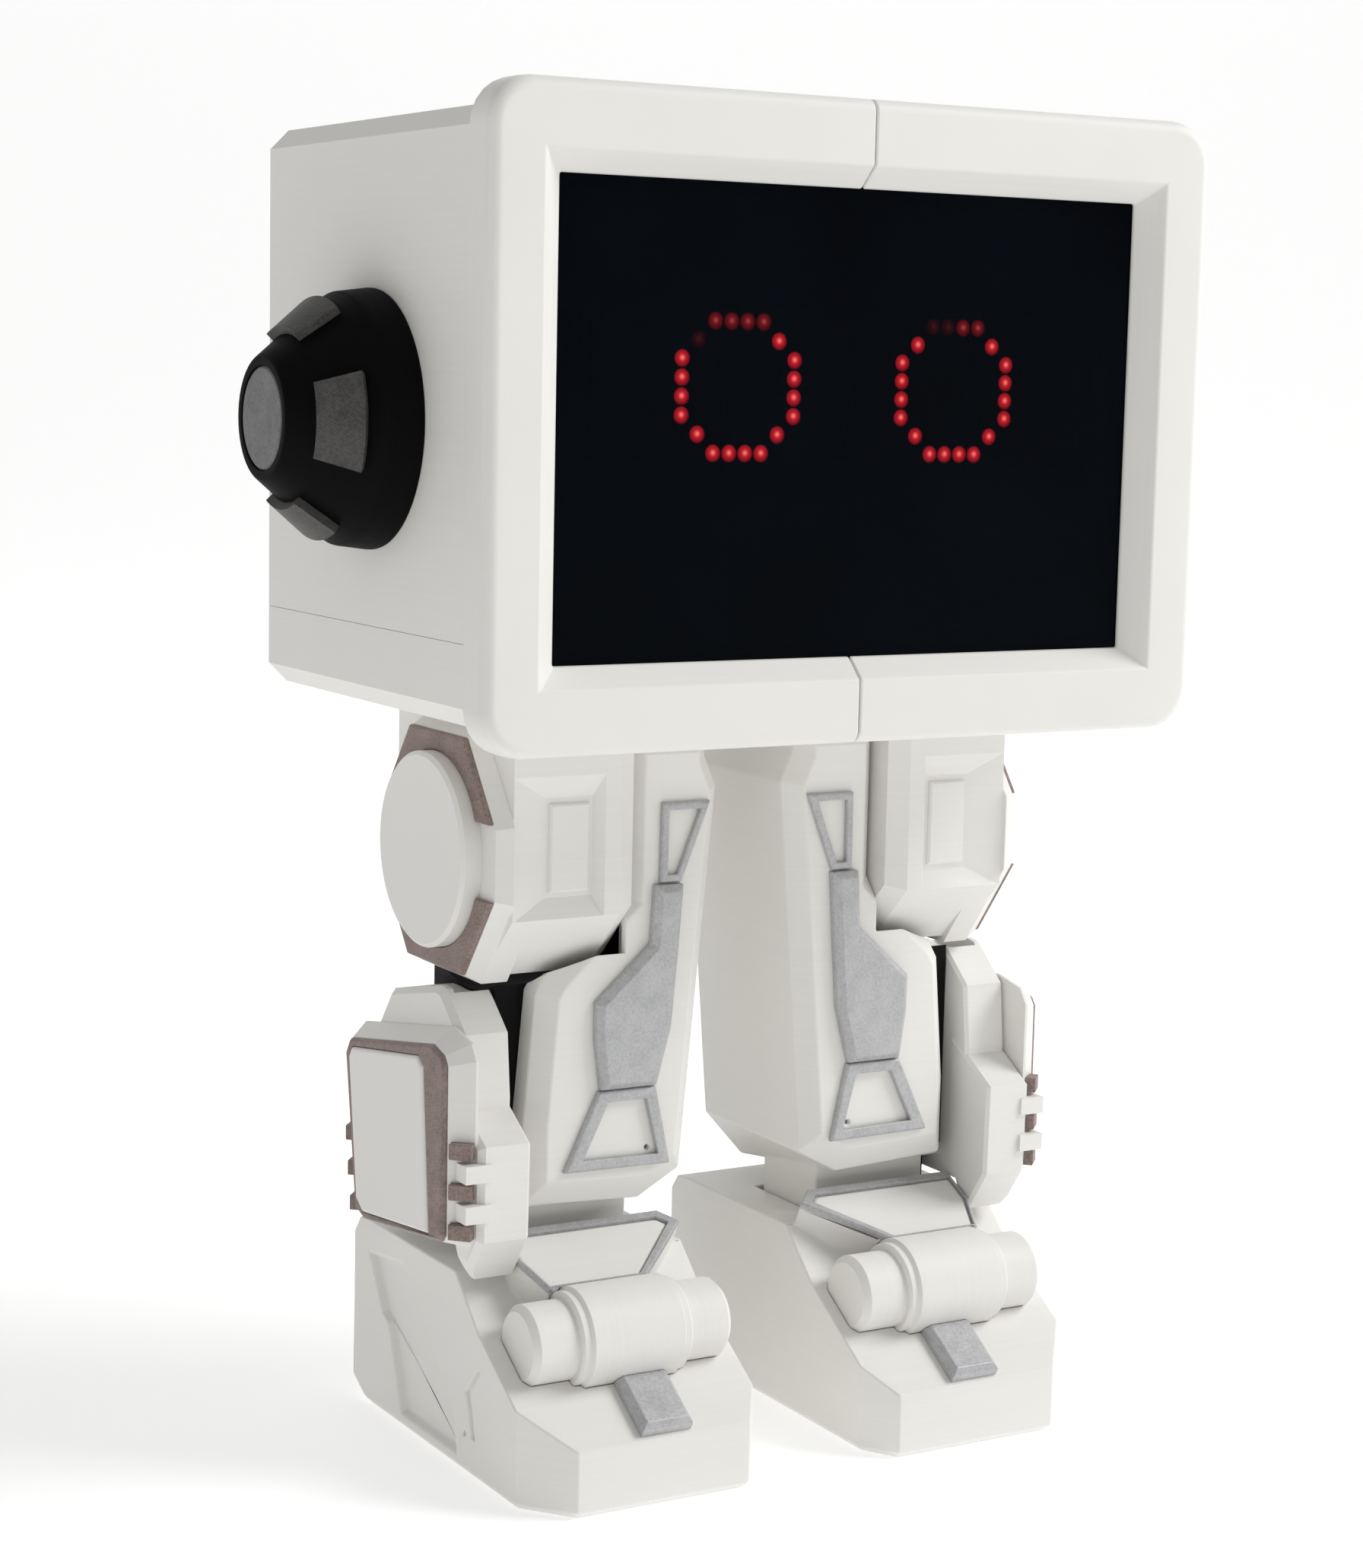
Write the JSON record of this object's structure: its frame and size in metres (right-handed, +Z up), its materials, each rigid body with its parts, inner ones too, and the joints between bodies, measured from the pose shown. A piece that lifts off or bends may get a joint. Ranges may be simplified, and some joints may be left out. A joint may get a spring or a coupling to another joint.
{
  "type": "two-legged humanoid robot kit",
  "caption": "Desktop humanoid robot kit: a box head with a dot-matrix face and round ear pods, on servo-driven armoured legs with shoe-like feet.",
  "frame": {"origin": "on the ground, under the middle of the bounding box, between the feet", "axes": "+Z up, the face looks along -Y, and the robot's left is +X"},
  "size_m": [0.234, 0.115, 0.3074],
  "materials": {
    "shell_white": "3-D printed, light satin",
    "trim_silver": "silver paint, satin",
    "trim_taupe": "3-D printed, warm grey",
    "frame_black": "3-D printed, matt",
    "ear_grey": "3-D printed, matt",
    "screen_smoke": "smoked acrylic, polished",
    "matrix_black": "moulded, semi-gloss",
    "led_red": "lit lamp",
    "board_green": "solder mask",
    "board_blue": "solder mask",
    "battery_blue": "heat-shrink sleeve",
    "servo_case": "moulded case",
    "horn_white": "moulded nylon",
    "switch_black": "moulded",
    "switch_red": "moulded",
    "steel": "turned pin",
    "screw_black": "black oxide"
  },
  "bodies": {
    "head": {"bezel_left": "shell_white", "bezel_right": "shell_white", "head_hood": "shell_white", "head_tray": "shell_white", "back_cover": "shell_white", "screen_window": "screen_smoke", "window_clamp": "frame_black", "matrix_board": "board_green", "matrix_blocks": "matrix_black", "led_eyes": "led_red", "controller_board": "board_blue", "battery_pack": "battery_blue", "yaw_servos": "servo_case", "switch_body": "switch_black", "ear_pods": "frame_black", "ear_pads": "ear_grey", "ear_discs": "ear_grey", "cover_screws": "screw_black"},
    "rocker": {"power_rocker": "switch_red"},
    "hip_left": {"yaw_horn_left": "horn_white", "hip_housing_left": "shell_white", "hip_servo_left": "servo_case", "hip_ring_left": "trim_taupe", "hip_cap_left": "shell_white"},
    "leg_left": {"hip_horn_left": "horn_white", "leg_frame_left": "frame_black", "ankle_servo_left": "servo_case", "shin_cover_left": "shell_white", "shin_plate_left": "trim_silver", "shin_frames_left": "trim_silver", "calf_shell_left": "shell_white", "calf_trim_left": "trim_taupe", "calf_panel_left": "shell_white"},
    "foot_left": {"ankle_horn_left": "horn_white", "ankle_pin_left": "steel", "foot_body_left": "shell_white", "tongue_frame_left": "trim_silver", "instep_roller_left": "shell_white", "toe_plate_left": "trim_silver"},
    "hip_right": {"yaw_horn_right": "horn_white", "hip_housing_right": "shell_white", "hip_servo_right": "servo_case", "hip_ring_right": "trim_taupe", "hip_cap_right": "shell_white"},
    "leg_right": {"hip_horn_right": "horn_white", "leg_frame_right": "frame_black", "ankle_servo_right": "servo_case", "shin_cover_right": "shell_white", "shin_plate_right": "trim_silver", "shin_frames_right": "trim_silver", "calf_shell_right": "shell_white", "calf_trim_right": "trim_taupe", "calf_panel_right": "shell_white"},
    "foot_right": {"ankle_horn_right": "horn_white", "ankle_pin_right": "steel", "foot_body_right": "shell_white", "tongue_frame_right": "trim_silver", "instep_roller_right": "shell_white", "toe_plate_right": "trim_silver"}
  },
  "joints": [
    {"name": "power_switch", "type": "hinge", "parent": "head", "child": "rocker", "pos_m": [0.058, 0.05, 0.205], "axis": [-1, 0, 0], "range_deg": [0, 16]},
    {"name": "hip_yaw_left", "type": "hinge", "parent": "head", "child": "hip_left", "pos_m": [0.05, 0.0085, 0.1734], "axis": [0, 0, 1], "range_deg": [-15, 25]},
    {"name": "hip_pitch_left", "type": "hinge", "parent": "hip_left", "child": "leg_left", "pos_m": [0.036, 0.0085, 0.14], "axis": [-1, 0, 0], "range_deg": [-25, 30]},
    {"name": "ankle_pitch_left", "type": "hinge", "parent": "leg_left", "child": "foot_left", "pos_m": [0.044, 0.0085, 0.038], "axis": [1, 0, 0], "range_deg": [-10, 10]},
    {"name": "hip_yaw_right", "type": "hinge", "parent": "head", "child": "hip_right", "pos_m": [-0.05, 0.0085, 0.1734], "axis": [0, 0, -1], "range_deg": [-15, 25]},
    {"name": "hip_pitch_right", "type": "hinge", "parent": "hip_right", "child": "leg_right", "pos_m": [-0.036, 0.0085, 0.14], "axis": [-1, 0, 0], "range_deg": [-25, 30]},
    {"name": "ankle_pitch_right", "type": "hinge", "parent": "leg_right", "child": "foot_right", "pos_m": [-0.044, 0.0085, 0.038], "axis": [1, 0, 0], "range_deg": [-10, 10]}
  ]
}
